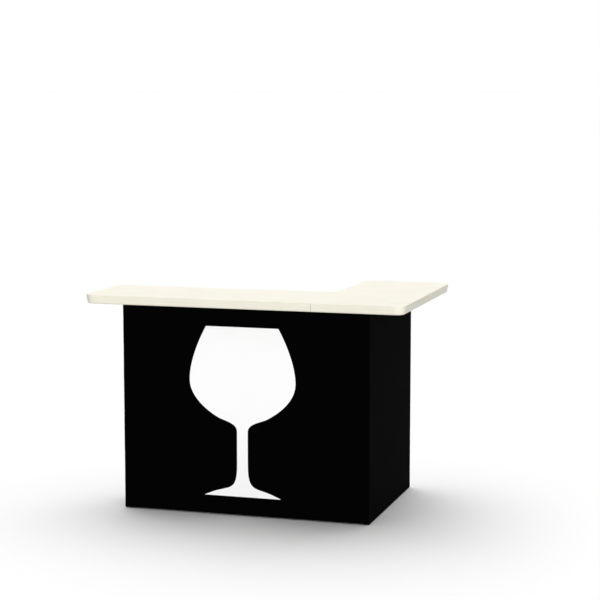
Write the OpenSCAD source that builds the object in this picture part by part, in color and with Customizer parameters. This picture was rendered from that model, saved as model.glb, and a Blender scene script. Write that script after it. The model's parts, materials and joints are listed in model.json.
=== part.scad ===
// Folding L-shaped portable bar: two moulded counter panels on a tube frame
// with a fabric cover. The side frames fold in behind the front section.
// Millimetres, +Z up, +X to the right seen from the guests' side, front at -Y.
// The origin is on the floor, under the centre of the counter's outline.

/* [Counter] */
// Length of the counter along the front
counter_length = 1605; // [1500:5:1800]
// Depth of the counter along the return leg
counter_depth = 1010; // [940:5:1200]
// Height of the counter's top above the floor
counter_height = 1067; // [900:1:1150]
// Thickness of the counter at its rim
counter_thick = 44; // [38:1:60]
// Depth of the long left panel
left_panel_depth = 450; // [420:5:560]
// Width of the right panel, which is the return leg
right_panel_width = 452; // [400:1:520]
// How far the rim slopes in from its top edge to its foot
rim_inset = 8; // [6:1:18]
// Radius of the rim's top edge
edge_round = 2.5; // [1:0.5:4]
// Radius that carries the rim round to the underside
under_round = 9; // [7:0.5:16]
// Corner radius of the counter's outline
corner_radius = 50; // [32:1:60]
// Wall of the moulded panels
panel_wall = 5; // [4:0.5:8]
// Distance of the opening under a panel from its edges
opening_inset = 46; // [40:1:70]
// Thickness of the ribs under the panels
rib_thick = 4; // [3:0.5:8]
// Largest distance between two ribs
rib_pitch = 115; // [80:5:150]
// Gap at the seam between the two panels
seam_gap = 1; // [0.5:0.1:3]

/* [Body] */
// How far the counter overhangs the body at the front
front_overhang = 87; // [60:1:130]
// How far the counter overhangs the body on the left
left_overhang = 171; // [100:1:200]
// How far the counter overhangs the body on the right
right_overhang = 184; // [100:1:220]
// How far the return leg overhangs the body at the back
return_overhang = 86; // [50:1:150]
// How far the long panel overhangs the body at the back
left_back_overhang = 50; // [30:1:90]
// Depth of the front section, which the side frames fold behind
section_depth = 120; // [105:1:160]

/* [Frame] */
// Side of the square tube
tube = 25; // [20:1:30]
// Wall of the tube
tube_wall = 1.5; // [1:0.25:2.5]
// Outer corner radius of the tube
tube_corner = 2.5; // [1.5:0.5:4]
// Height of the feet under the posts
foot_height = 10; // [8:1:20]
// Height of the side frames' middle rail
wing_rail_height = 530; // [350:10:700]

/* [Cover] */
// Thickness of the cover's fabric
cover_thick = 1.2; // [0.8:0.1:2]
// Thickness of the hook and loop tape that holds the cover
tape_thick = 1.6; // [1:0.1:3]
// Width of the tape
tape_width = 20; // [12:1:20]
// Height of the cover's lower edge above the floor
cover_lift = 5; // [2:1:9]
// Gap in the cover at the hinge line
cover_gap = 1; // [0.5:0.1:3]

/* [Hinges] */
// Length of a hinge
hinge_length = 75; // [60:1:100]
// Radius of the hinge barrel
barrel_radius = 5; // [4.5:0.1:7]
// Radius of the hinge pin
pin_radius = 3; // [2:0.1:3.2]
// Width of a hinge leaf from the pin
leaf_width = 24; // [20:0.5:26]
// Thickness of a hinge leaf
leaf_thick = 2; // [1.5:0.1:2.5]
// Gap between the front section and a side frame
hinge_gap = 5; // [5:0.5:8]

/* [Bottle rails] */
// Height of the upper bottle rail's base
upper_rail_height = 600; // [500:10:750]
// Height of the lower bottle rail's base
lower_rail_height = 130; // [90:10:250]
// Height of a bottle rail's back wall
rail_back = 110; // [80:5:140]
// Height of a bottle rail's lip
rail_lip = 62; // [40:1:75]
// Thickness of the sheet
rail_sheet = 1.5; // [1:0.1:2.5]

/* [Locating pieces] */
// Radius of the pegs that place the long panel on the frame
peg_radius = 8; // [6:0.5:9]
// Height of a peg inside the counter
peg_height = 14; // [10:1:20]
// Distance of a peg from the body's end or the seam
peg_setback = 150; // [120:5:200]
// Radius of the dowels that join the two panels
dowel_radius = 6; // [5:0.5:7]
// Length of a dowel inside the long panel
dowel_embed = 40; // [30:1:60]
// Length of a dowel inside the right panel
dowel_reach = 30; // [20:1:45]

/* [Hidden] */
$fn = 48;
// Extra length of cuts past the face they open
overrun = 1;
// Fit of parts that slide or turn on each other
running_clear = 0.08;
// Fit of parts that are pushed or screwed together
seat_clear = 0.05;
// Rest gap between the counter and what carries it
seat_gap = 0.3;
// Height of the pads between the frame and the counter
pad_thick = 2.5;
pad_length = 120;
pad_width = 18;
// Pads on a side frame: their number, and their part of the rail's free length
right_pad_count = 2;
left_pad_count = 1;
wing_pad_share = 0.64;
// Corner radius of the opening under a panel
opening_round = 12;
// How far a rounded edge of the rim crosses the faces it joins
round_overlap = 0.005;
// Bosses inside the panels round pegs and dowels
boss_wall = 6;
dowel_shares = [0.28, 0.72];
dowel_tip = 3;
peg_flange = 3;
peg_end_gap = 3;
// Plugs and feet pushed into the tube ends
plug_flange = 2;
plug_stem = 16;
foot_stem = 26;
plug_fit = 0.2;
// Uprights of the front frame, along its width
upright_shares = [1 / 3, 2 / 3];
// Hinges along the height of the posts
hinge_shares = [0.1, 0.5, 0.9];
knuckles = 5;
knuckle_gap = 0.4;
leaf_sink = 0.4;
pin_head = 1.6;
pin_head_radius = 4.4;
screw_radius = 2.2;
screw_head_radius = 4.2;
screw_head = 2;
screw_grip = 3;
screw_height_shares = [0.25, 0.75];
// Bottle rails
rail_end_gap = 10;
rail_rear_gap = 3;
rail_roll = 3;
rail_screw_shares = [0.25, 0.75];

RIGHT = 1;
LEFT = -1;
frame_colour = [0.58, 0.59, 0.60];
counter_colour = [0.97, 0.95, 0.87];
cover_colour = [0.05, 0.05, 0.05];
tape_colour = [0.12, 0.12, 0.12];
plastic_colour = [0.10, 0.10, 0.11];
steel_colour = [0.72, 0.73, 0.74];

// Slope of the rim from upright, and how far its unrounded top edge would stand out
rim_angle = atan(rim_inset / counter_thick);
brow_reach = edge_round / tan(45 - rim_angle / 2) - edge_round - round_overlap;

// Places of the counter's edges
x_counter_left = -counter_length / 2;
x_counter_right = counter_length / 2;
x_seam = x_counter_right - right_panel_width;
y_counter_front = -counter_depth / 2;
y_counter_back = counter_depth / 2;
y_left_back = y_counter_front + left_panel_depth;
counter_under = counter_height - counter_thick;
z_dowel = counter_under + (counter_thick - panel_wall) / 2;

// Places of the body's faces and the frame's lines
body_width = counter_length - left_overhang - right_overhang;
right_depth = counter_depth - front_overhang - return_overhang;
left_depth = left_panel_depth - front_overhang - left_back_overhang;
cover_build = cover_thick + tape_thick;
x_left = x_counter_left + left_overhang;
x_right = x_left + body_width;
y_front = y_counter_front + front_overhang;
y_front_post = y_front + cover_build + tube / 2;
y_return_post = y_front + section_depth - tube / 2;
y_hinge = y_front + section_depth + hinge_gap / 2;
y_wing_post = y_hinge + hinge_gap / 2 + tube / 2;
frame_top = counter_under - pad_thick;
z_top_rail = frame_top - tube / 2;
z_bottom_rail = foot_height + tube / 2;
hinge_offset = barrel_radius - leaf_sink;
knuckle_pitch = hinge_length / knuckles;
leaf_screw_place = (leaf_width + barrel_radius) / 2;
y_rail_back = y_front_post + tube / 2;
rail_depth = y_return_post + tube / 2 - rail_rear_gap - y_rail_back;

function x_face(side) = side == RIGHT ? x_right : x_left;
function x_post(side) = x_face(side) - side * (cover_build + tube / 2);
function x_inner(side) = x_post(side) - side * tube / 2;
function x_hinge(side) = x_inner(side) - side * hinge_offset;
function y_back(side) = y_front + (side == RIGHT ? right_depth : left_depth);
function y_rear_post(side) = y_back(side) - cover_build - tube / 2;
function z_hinge(share) = foot_height + (frame_top - foot_height) * share - hinge_length / 2;
function x_upright(share) = x_left + body_width * share;
function peg_places() = [x_left + peg_setback, x_seam - peg_setback];

// Box from its lowest to its highest corner
module box_between(low, high) {
  translate(low) cube(high - low);
}

// Square tube stock

module rounded_rectangle(size, radius) {
  flat = size - 2 * [radius, radius];
  square([size.x, flat.y], center = true);
  square([flat.x, size.y], center = true);
  for (sx = [-1, 1], sy = [-1, 1])
    translate([sx * flat.x, sy * flat.y] / 2) circle(radius);
}

module tube_profile() {
  difference() {
    rounded_rectangle([tube, tube], tube_corner);
    square(tube - 2 * tube_wall, center = true);
  }
}

module post(x, y) {
  translate([x, y, foot_height]) linear_extrude(frame_top - foot_height) tube_profile();
}

module rail_x(x0, x1, y, z) {
  translate([x0, y, z]) rotate([90, 0, 90]) linear_extrude(x1 - x0) tube_profile();
}

module rail_y(x, y0, y1, z) {
  translate([x, y1, z]) rotate([90, 0, 0]) linear_extrude(y1 - y0) tube_profile();
}

// Piece pushed into a tube end, with its flange at the end and its stem inside
module tube_insert(x, y, z, flange, stem) {
  translate([x, y, min(z, z + flange)]) linear_extrude(abs(flange))
    rounded_rectangle([tube, tube], tube_corner);
  translate([x, y, flange > 0 ? z - stem : z])
    linear_extrude(stem) square(tube - 2 * tube_wall - 2 * plug_fit, center = true);
}

module foot(x, y) {
  tube_insert(x, y, foot_height, -foot_height, foot_stem);
}

module post_plug(x, y) {
  tube_insert(x, y, frame_top, plug_flange, plug_stem);
}

// Hinges: local frame with the pin on Z and the posts' inner faces at +X

module at_hinges(side) {
  for (share = hinge_shares)
    translate([x_hinge(side), y_hinge, z_hinge(share)])
      mirror([side == RIGHT ? 0 : 1, 0, 0]) children();
}

module at_leaf_screws() {
  for (share = screw_height_shares)
    translate([hinge_offset - leaf_thick, -leaf_screw_place, hinge_length * share])
      rotate([0, 90, 0]) children();
}

// Leaf on the -Y side of the pin, with the barrel pieces that it owns
module hinge_leaf(owned) {
  difference() {
    union() {
      translate([hinge_offset - leaf_thick, -leaf_width, 0])
        cube([leaf_thick, leaf_width - barrel_radius - knuckle_gap, hinge_length]);
      for (k = owned)
        translate([0, 0, k * knuckle_pitch + knuckle_gap / 2]) {
          translate([hinge_offset - leaf_thick, -leaf_screw_place, 0])
            cube([leaf_thick, leaf_screw_place, knuckle_pitch - knuckle_gap]);
          cylinder(r = barrel_radius, h = knuckle_pitch - knuckle_gap);
        }
    }
    translate([0, 0, -overrun])
      cylinder(r = pin_radius + running_clear, h = hinge_length + 2 * overrun);
    at_leaf_screws()
      translate([0, 0, -overrun])
        cylinder(r = screw_radius + seat_clear, h = leaf_thick + 2 * overrun);
  }
}

module hinge_pin() {
  translate([0, 0, -pin_head]) cylinder(r = pin_head_radius, h = pin_head);
  cylinder(r = pin_radius, h = hinge_length);
  translate([0, 0, hinge_length]) cylinder(r = pin_head_radius, h = pin_head);
}

// Round-headed screw with its head on -Z and its shank along +Z
module screw(grip) {
  translate([0, 0, -screw_head])
    cylinder(r1 = screw_radius, r2 = screw_head_radius, h = screw_head / 2);
  translate([0, 0, -screw_head / 2]) cylinder(r = screw_head_radius, h = screw_head / 2);
  cylinder(r = screw_radius, h = grip);
}

module leaf_screws() {
  at_leaf_screws() screw(leaf_thick + tube_wall + screw_grip);
}

module leaf_screw_holes() {
  at_leaf_screws() cylinder(r = screw_radius + seat_clear, h = leaf_thick + tube_wall + overrun);
}

module frame_leaves(side) {
  at_hinges(side) hinge_leaf([for (k = [0 : 2 : knuckles - 1]) k]);
}

module wing_leaves(side) {
  at_hinges(side) mirror([0, 1, 0]) hinge_leaf([for (k = [1 : 2 : knuckles - 1]) k]);
}

// Front section

module return_post(side) {
  difference() {
    post(x_post(side), y_return_post);
    at_hinges(side) leaf_screw_holes();
  }
}

module return_rails(side) {
  for (z = [z_top_rail, z_bottom_rail])
    rail_y(x_post(side), y_front_post + tube / 2, y_return_post - tube / 2, z);
}

module cross_rail(y, z) {
  rail_x(x_inner(LEFT), x_inner(RIGHT), y, z);
}

module at_rail_screws(base) {
  for (share = upright_shares, height = rail_screw_shares)
    translate([x_upright(share), y_rail_back + rail_sheet, base + rail_back * height])
      rotate([90, 0, 0]) children();
}

module front_uprights() {
  color(frame_colour)
    difference() {
      for (share = upright_shares)
        translate([x_upright(share), y_front_post, foot_height + tube])
          linear_extrude(frame_top - foot_height - 2 * tube) tube_profile();
      for (base = [lower_rail_height, upper_rail_height])
        at_rail_screws(base)
          cylinder(r = screw_radius + seat_clear, h = rail_sheet + tube_wall + overrun);
    }
}

// Sheet-metal trough: back wall on the uprights, base, and a lip with a rolled edge
module trough_profile() {
  square([rail_sheet, rail_back]);
  square([rail_depth, rail_sheet]);
  translate([rail_depth - rail_sheet, 0]) square([rail_sheet, rail_lip]);
  translate([rail_depth - rail_roll, rail_lip]) circle(rail_roll);
}

module trough_end() {
  polygon([[0, 0], [rail_depth, 0], [rail_depth, rail_lip], [0, rail_back]]);
}

module bottle_rail(base) {
  x0 = x_inner(LEFT) + rail_end_gap;
  x1 = x_inner(RIGHT) - rail_end_gap;
  color(steel_colour)
    difference() {
      union() {
        translate([x0, y_rail_back, base]) rotate([90, 0, 90])
          linear_extrude(x1 - x0) trough_profile();
        for (x = [x0, x1 - rail_sheet])
          translate([x, y_rail_back, base]) rotate([90, 0, 90])
            linear_extrude(rail_sheet) trough_end();
      }
      at_rail_screws(base)
        translate([0, 0, -overrun])
          cylinder(r = screw_radius + seat_clear, h = rail_sheet + 2 * overrun);
    }
}

module bottle_rail_screws() {
  color(steel_colour)
    for (base = [lower_rail_height, upper_rail_height])
      at_rail_screws(base) screw(rail_sheet + tube_wall + screw_grip);
}

module front_feet() {
  color(plastic_colour)
    for (side = [LEFT, RIGHT], y = [y_front_post, y_return_post]) foot(x_post(side), y);
}

module front_post_plugs() {
  color(plastic_colour)
    for (side = [LEFT, RIGHT], y = [y_front_post, y_return_post]) post_plug(x_post(side), y);
}

module counter_pegs() {
  color(steel_colour)
    for (x = peg_places())
      translate([x, y_front_post, frame_top]) {
        cylinder(r = peg_radius + peg_flange, h = pad_thick - seat_gap);
        cylinder(r = peg_radius, h = pad_thick + peg_height);
      }
}

// Pad along X or along Y, on top of a rail
module pad(x, y, length, width) {
  translate([x - length / 2, y - width / 2, frame_top])
    cube([length, width, pad_thick - seat_gap]);
}

module front_counter_pads() {
  pegs = peg_places();
  color(tape_colour)
    for (x = [(pegs[0] + pegs[1]) / 2, (x_seam + x_inner(RIGHT)) / 2],
         y = [y_front_post, y_return_post])
      pad(x, y, pad_length, pad_width);
}

module front_tapes() {
  color(tape_colour) {
    for (z = [z_top_rail, z_bottom_rail])
      box_between([x_left + cover_build, y_front + cover_thick, z - tape_width / 2],
                  [x_right - cover_build, y_front + cover_build, z + tape_width / 2]);
    for (side = [LEFT, RIGHT])
      translate([x_face(side) - side * (cover_thick + tape_thick / 2), y_return_post, 0])
        box_between([-tape_thick / 2, -tape_width / 2, foot_height],
                    [tape_thick / 2, tape_width / 2, frame_top]);
  }
}

module front_cover() {
  color(cover_colour)
    box_between([x_left, y_front, cover_lift], [x_right, y_front + cover_thick, frame_top]);
}

module cover_gusset(side) {
  color(cover_colour)
    translate([x_face(side) - side * cover_thick / 2, 0, 0])
      box_between([-cover_thick / 2, y_front + cover_thick, cover_lift],
                  [cover_thick / 2, y_front + section_depth, frame_top]);
}

// Side frames

module wing_front_post(side) {
  color(frame_colour)
    difference() {
      post(x_post(side), y_wing_post);
      at_hinges(side) mirror([0, 1, 0]) leaf_screw_holes();
    }
}

module wing_rear_post(side) {
  color(frame_colour) post(x_post(side), y_rear_post(side));
}

module wing_rail(side, z) {
  color(frame_colour)
    rail_y(x_post(side), y_wing_post + tube / 2, y_rear_post(side) - tube / 2, z);
}

module wing_screws(side) {
  color(steel_colour) at_hinges(side) mirror([0, 1, 0]) leaf_screws();
}

module wing_feet(side) {
  color(plastic_colour)
    for (y = [y_wing_post, y_rear_post(side)]) foot(x_post(side), y);
}

module wing_plugs(side) {
  color(plastic_colour)
    for (y = [y_wing_post, y_rear_post(side)]) post_plug(x_post(side), y);
}

module wing_pads(side, count) {
  start = y_wing_post + tube / 2;
  pitch = (y_rear_post(side) - tube / 2 - start) / count;
  color(tape_colour)
    for (i = [1 : count])
      pad(x_post(side), start + pitch * i - pitch / 2, pad_width, pitch * wing_pad_share);
}

module wing_tapes(side) {
  color(tape_colour) {
    for (z = [z_top_rail, z_bottom_rail])
      translate([x_face(side) - side * (cover_thick + tape_thick / 2), 0, z])
        box_between([-tape_thick / 2, y_wing_post - tube / 2, -tape_width / 2],
                    [tape_thick / 2, y_back(side) - cover_build, tape_width / 2]);
    translate([x_post(side), y_back(side) - cover_build, 0])
      box_between([-tape_width / 2, 0, foot_height], [tape_width / 2, tape_thick, frame_top]);
  }
}

module wing_cover(side) {
  color(cover_colour)
    translate([x_face(side) - side * cover_thick / 2, 0, 0])
      box_between([-cover_thick / 2, y_front + section_depth + cover_gap, cover_lift],
                  [cover_thick / 2, y_back(side), frame_top]);
}

// Turned edge of the cover on the back of the rear post
module wing_hem(side) {
  width = tape_thick + tube;
  color(cover_colour)
    translate([x_face(side) - side * (cover_thick + width / 2), y_back(side) - cover_thick, 0])
      box_between([-width / 2, 0, cover_lift], [width / 2, cover_thick, frame_top]);
}

// Counter panels

// Distance of the rim's face from its corner's axis, at a height and a depth into the wall
function rim_at(height, wall) =
  corner_radius + brow_reach - rim_inset * (1 - height / counter_thick) - wall / cos(rim_angle);

// Section of the rim from a corner's axis outwards, at a depth into the wall
module rim_profile(wall) {
  top = counter_thick - wall;
  foot = [rim_at(wall, wall), wall];
  brow = [rim_at(top, wall), top];
  slope = [sin(rim_angle), cos(rim_angle)];
  under = under_round - wall;
  edge = max(edge_round - wall, 0);
  under_run = under / tan(45 + rim_angle / 2);
  edge_run = edge / tan(45 - rim_angle / 2);
  brow_points = edge > 0 ? [brow - edge_run * slope, brow - [edge_run, 0]] : [brow];
  intersection() {
    union() {
      polygon(concat([[0, wall], foot - [under_run, 0], foot + under_run * slope],
                     brow_points, [[0, top]]));
      translate(foot + [-under_run, under]) circle(under + round_overlap);
      if (edge > 0) translate(brow - [edge_run, edge]) circle(edge + round_overlap);
    }
    translate([0, wall]) square([2 * corner_radius, top - wall]);
  }
}

// Straight run of the rim that faces an angle; it runs to the right of that angle
module rim_run(start, length, facing, wall) {
  translate([start.x, start.y, counter_under]) rotate([90, 0, facing])
    linear_extrude(length) rim_profile(wall);
}

// Quarter turn of the rim, from an angle anticlockwise
module rim_corner(centre, facing, wall) {
  translate([centre.x, centre.y, counter_under]) rotate([0, 0, facing])
    rotate_extrude(angle = 90) rim_profile(wall);
}

module panel_core(low, high, wall) {
  box_between([low.x, low.y, counter_under + wall], [high.x, high.y, counter_height - wall]);
}

// Long panel, drawn in on every face by the wall: rims on three sides, upright at the seam
module left_slab(wall) {
  x0 = x_counter_left + corner_radius;
  x1 = x_seam - seam_gap / 2 - wall;
  y0 = y_counter_front + corner_radius;
  y1 = y_left_back - corner_radius;
  panel_core([x0, y0], [x1, y1], wall);
  rim_run([x1, y0], x1 - x0, -90, wall);
  rim_corner([x0, y0], 180, wall);
  rim_run([x0, y0], y1 - y0, 180, wall);
  rim_corner([x0, y1], 90, wall);
  rim_run([x0, y1], x1 - x0, 90, wall);
}

// Return leg: the same, with its free inner edge rimmed and its seam edge upright
module right_slab(wall) {
  x_edge = x_seam + seam_gap / 2;
  x0 = x_edge + corner_radius;
  x1 = x_counter_right - corner_radius;
  y0 = y_counter_front + corner_radius;
  y1 = y_counter_back - corner_radius;
  panel_core([x0, y0], [x1, y1], wall);
  panel_core([x_edge + wall, y0], [x0, y_left_back - wall], wall);
  rim_run([x1, y0], x1 - x_edge - wall, -90, wall);
  rim_corner([x1, y0], -90, wall);
  rim_run([x1, y1], y1 - y0, 0, wall);
  rim_corner([x1, y1], 0, wall);
  rim_run([x0, y1], x1 - x0, 90, wall);
  rim_corner([x0, y1], 90, wall);
  rim_run([x0, y0], y1 - y0, 180, wall);
}

// Opening under a panel, which leaves a flange inside the rim
module under_opening(low, high, inset, bottom, top) {
  size = high - low - 2 * [inset, inset];
  centre = (low + high) / 2;
  translate([centre.x, centre.y, counter_under + bottom])
    linear_extrude(top - bottom) rounded_rectangle(size, opening_round);
}

// Ribs in both directions, evenly spaced between two corners of a panel
module rib_grid(low, high) {
  size = high - low;
  counts = [ceil(size.x / rib_pitch), ceil(size.y / rib_pitch)];
  for (i = [1 : counts.x - 1])
    translate([low.x + size.x * i / counts.x - rib_thick / 2, low.y, counter_under])
      cube([rib_thick, size.y, counter_thick]);
  for (i = [1 : counts.y - 1])
    translate([low.x, low.y + size.y * i / counts.y - rib_thick / 2, counter_under])
      cube([size.x, rib_thick, counter_thick]);
}

// Moulded shell with a ribbed underside; the children are its slab at three depths
module ribbed_panel(low, high) {
  mid_wall = panel_wall / 2;
  difference() {
    children(0);
    children(2);
    under_opening(low, high, opening_inset, -overrun, panel_wall + overrun);
  }
  intersection() {
    rib_grid(low, high);
    union() {
      children(1);
      under_opening(low, high, opening_inset - mid_wall, 0, panel_wall);
    }
  }
}

module at_dowels() {
  for (share = dowel_shares)
    translate([x_seam, y_counter_front + left_panel_depth * share, z_dowel])
      rotate([0, 90, 0]) children();
}

module left_counter() {
  boss = dowel_embed + seam_gap / 2 + boss_wall;
  color(counter_colour)
    difference() {
      union() {
        ribbed_panel([x_counter_left, y_counter_front], [x_seam, y_left_back]) {
          left_slab(0);
          left_slab(panel_wall / 2);
          left_slab(panel_wall);
        }
        at_dowels()
          translate([0, 0, -boss]) cylinder(r = dowel_radius + boss_wall, h = boss - seam_gap / 2);
        for (x = peg_places())
          translate([x, y_front_post, counter_under])
            cylinder(r = peg_radius + boss_wall, h = counter_thick - panel_wall + seat_clear);
      }
      at_dowels()
        translate([0, 0, -dowel_embed - seam_gap / 2])
          cylinder(r = dowel_radius + seat_clear, h = dowel_embed + overrun);
      for (x = peg_places())
        translate([x, y_front_post, counter_under - overrun])
          cylinder(r = peg_radius + 2 * running_clear, h = peg_height + peg_end_gap + overrun);
    }
}

module counter_dowels() {
  color(steel_colour)
    at_dowels() {
      translate([0, 0, -dowel_embed - seam_gap / 2])
        cylinder(r = dowel_radius, h = dowel_embed + seam_gap + dowel_reach - dowel_tip);
      translate([0, 0, seam_gap / 2 + dowel_reach - dowel_tip])
        cylinder(r1 = dowel_radius, r2 = dowel_radius - dowel_tip / 2, h = dowel_tip);
    }
}

module right_counter() {
  bore = dowel_reach + dowel_tip;
  color(counter_colour)
    difference() {
      union() {
        ribbed_panel([x_seam, y_counter_front], [x_counter_right, y_counter_back]) {
          right_slab(0);
          right_slab(panel_wall / 2);
          right_slab(panel_wall);
        }
        at_dowels()
          translate([0, 0, seam_gap / 2]) cylinder(r = dowel_radius + boss_wall, h = bore + boss_wall);
      }
      at_dowels()
        translate([0, 0, seam_gap / 2 - overrun])
          cylinder(r = dowel_radius + running_clear, h = bore + overrun);
    }
}

color(frame_colour) post(x_post(LEFT), y_front_post);  // front_left_post
color(frame_colour) post(x_post(RIGHT), y_front_post);  // front_right_post
color(frame_colour) return_post(LEFT);  // left_return_post
color(frame_colour) return_post(RIGHT);  // right_return_post
color(frame_colour) cross_rail(y_front_post, z_top_rail);  // front_top_rail
color(frame_colour) cross_rail(y_front_post, z_bottom_rail);  // front_bottom_rail
color(frame_colour) cross_rail(y_return_post, z_top_rail);  // rear_top_rail
color(frame_colour) cross_rail(y_return_post, z_bottom_rail);  // rear_bottom_rail
front_uprights();
color(frame_colour) return_rails(LEFT);  // left_return_rails
color(frame_colour) return_rails(RIGHT);  // right_return_rails
bottle_rail(upper_rail_height);  // upper_bottle_rail
bottle_rail(lower_rail_height);  // lower_bottle_rail
bottle_rail_screws();
front_feet();
front_post_plugs();
counter_pegs();
front_counter_pads();
front_tapes();
front_cover();
cover_gusset(LEFT);  // left_cover_gusset
cover_gusset(RIGHT);  // right_cover_gusset
color(steel_colour) frame_leaves(LEFT);  // left_hinge_frame_leaves
color(steel_colour) frame_leaves(RIGHT);  // right_hinge_frame_leaves
color(steel_colour) at_hinges(LEFT) hinge_pin();  // left_hinge_pins
color(steel_colour) at_hinges(RIGHT) hinge_pin();  // right_hinge_pins
color(steel_colour) for (side = [LEFT, RIGHT]) at_hinges(side) leaf_screws();  // frame_leaf_screws
wing_front_post(RIGHT);  // right_wing_front_post
wing_rear_post(RIGHT);  // right_wing_rear_post
wing_rail(RIGHT, z_top_rail);  // right_wing_top_rail
wing_rail(RIGHT, wing_rail_height);  // right_wing_middle_rail
wing_rail(RIGHT, z_bottom_rail);  // right_wing_bottom_rail
color(steel_colour) wing_leaves(RIGHT);  // right_hinge_wing_leaves
wing_screws(RIGHT);  // right_wing_screws
wing_feet(RIGHT);  // right_wing_feet
wing_plugs(RIGHT);  // right_wing_plugs
wing_pads(RIGHT, right_pad_count);  // right_wing_pads
wing_tapes(RIGHT);  // right_wing_tapes
wing_cover(RIGHT);  // right_wing_cover
wing_hem(RIGHT);  // right_wing_hem
wing_front_post(LEFT);  // left_wing_front_post
wing_rear_post(LEFT);  // left_wing_rear_post
wing_rail(LEFT, z_top_rail);  // left_wing_top_rail
wing_rail(LEFT, wing_rail_height);  // left_wing_middle_rail
wing_rail(LEFT, z_bottom_rail);  // left_wing_bottom_rail
color(steel_colour) wing_leaves(LEFT);  // left_hinge_wing_leaves
wing_screws(LEFT);  // left_wing_screws
wing_feet(LEFT);  // left_wing_feet
wing_plugs(LEFT);  // left_wing_plugs
wing_pads(LEFT, left_pad_count);  // left_wing_pads
wing_tapes(LEFT);  // left_wing_tapes
wing_cover(LEFT);  // left_wing_cover
wing_hem(LEFT);  // left_wing_hem
left_counter();
counter_dowels();
right_counter();
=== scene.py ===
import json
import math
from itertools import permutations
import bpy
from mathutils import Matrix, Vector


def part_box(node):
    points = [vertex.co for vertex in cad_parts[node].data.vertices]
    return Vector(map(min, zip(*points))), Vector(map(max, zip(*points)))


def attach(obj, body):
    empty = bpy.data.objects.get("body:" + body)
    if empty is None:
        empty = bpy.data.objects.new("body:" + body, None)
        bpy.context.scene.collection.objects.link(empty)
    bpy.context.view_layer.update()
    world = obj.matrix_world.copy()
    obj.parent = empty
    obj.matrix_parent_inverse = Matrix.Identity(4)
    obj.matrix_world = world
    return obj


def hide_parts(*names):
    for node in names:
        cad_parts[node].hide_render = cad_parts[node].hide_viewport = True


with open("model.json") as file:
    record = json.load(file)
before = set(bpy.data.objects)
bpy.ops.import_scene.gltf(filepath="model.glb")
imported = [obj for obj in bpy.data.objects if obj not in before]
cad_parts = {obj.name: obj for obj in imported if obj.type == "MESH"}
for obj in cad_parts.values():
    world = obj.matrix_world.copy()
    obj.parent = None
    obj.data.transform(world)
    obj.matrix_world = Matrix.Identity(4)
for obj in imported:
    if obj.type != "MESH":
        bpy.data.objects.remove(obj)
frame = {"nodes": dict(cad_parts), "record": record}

# Dresses the folding L-shaped bar, in metres, +Z up, with its printed front at -Y. The counter,
# tubes, hinges and bottle rails are the frame's own solids, each with its finish. The stretched
# covers, hook tape, recessed screws and weld beads are made here. A white floor, soft light and
# the camera of the photograph come last.
from types import SimpleNamespace

import bmesh
import bpy
from mathutils import Vector, geometry

for factory_object in ("Cube", "Camera", "Light"):
    if factory_object in bpy.data.objects:
        bpy.data.objects.remove(bpy.data.objects[factory_object])
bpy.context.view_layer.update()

# Camera of the photograph
CAMERA_AZIMUTH = 16.892
CAMERA_ELEVATION = 7.016
CAMERA_DISTANCE = 8.323
CAMERA_TARGET = Vector((0.2745, -0.4180, 1.0684))
CAMERA_LENS = 105.42
SENSOR_WIDTH = 36.0

# Light: the dome brightens between two heights on a sphere of radius 1. Each soft lamp has an
# azimuth, an elevation, a spread and a level, and lights the bar alone or the floor alone.
WHITE = (1, 1, 1, 1)
DOME_ZENITH = 1.36
DOME_HORIZON = 0.0
DOME_RISE = (0.66, 0.80)
BAR_LAMPS = {"front_lamp": (25.0, 8.0, 20.0, 0.87), "rear_lamp": (197.0, 40.0, 70.0, 0.40)}
FLOOR_LAMPS = {"overhead_lamp": (196.0, 62.0, 64.0, 0.73)}

# Floor, with its tone as a bounce card and its tone to the eye
FLOOR_RADIUS = 400.0
FLOOR_SIDES = 96
FLOOR_BOUNCE = 0.431
FLOOR_SEEN = 0.787

# Shared effects: the part of a noise that is used, how far a thread dips under the next, the
# ends of a stitch in shares of its pitch, and how alike two normals are across a rubbed edge
NOISE_MIDDLE = (0.3, 0.7)
THREAD_DIP = 0.45
STITCH_ENDS = (0.28, 0.40)
RUB_ALIKE = (0.80, 0.99)

# Counter: grime and painted shade on the rim at the seam, which end below the top
SEAM_GRIME_AND_SHADE = 0.0016
GRIME_AND_SHADE_BELOW = 0.004
GRIME_AND_SHADE_LEVEL = 0.50

# Covers: slack waves and where the slack starts are along a cloth and up it. A stitch's height is
# in heights of a thread.
CLOTH_THICK = 0.0012
CLOTH_BEND = 0.0045
CLOTH_PITCH = 0.020
BEND_STEPS = 6
HEM_WIDTH = 0.025
HEM_STEP = 0.0004
HEM_EDGE = 0.0012
SLACK = 0.00025
SLACK_WAVES = (0.37, 0.29)
SLACK_STARTS = (0.10, 0.12)
WEAVE_PITCH = 0.0009
GAP_ROUGHER = 0.06
STITCH_PITCH = 0.0034
STITCH_WIDTH = 0.0006
STITCH_SPACING = 0.0060
STITCH_HEIGHT = 2.0

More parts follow.
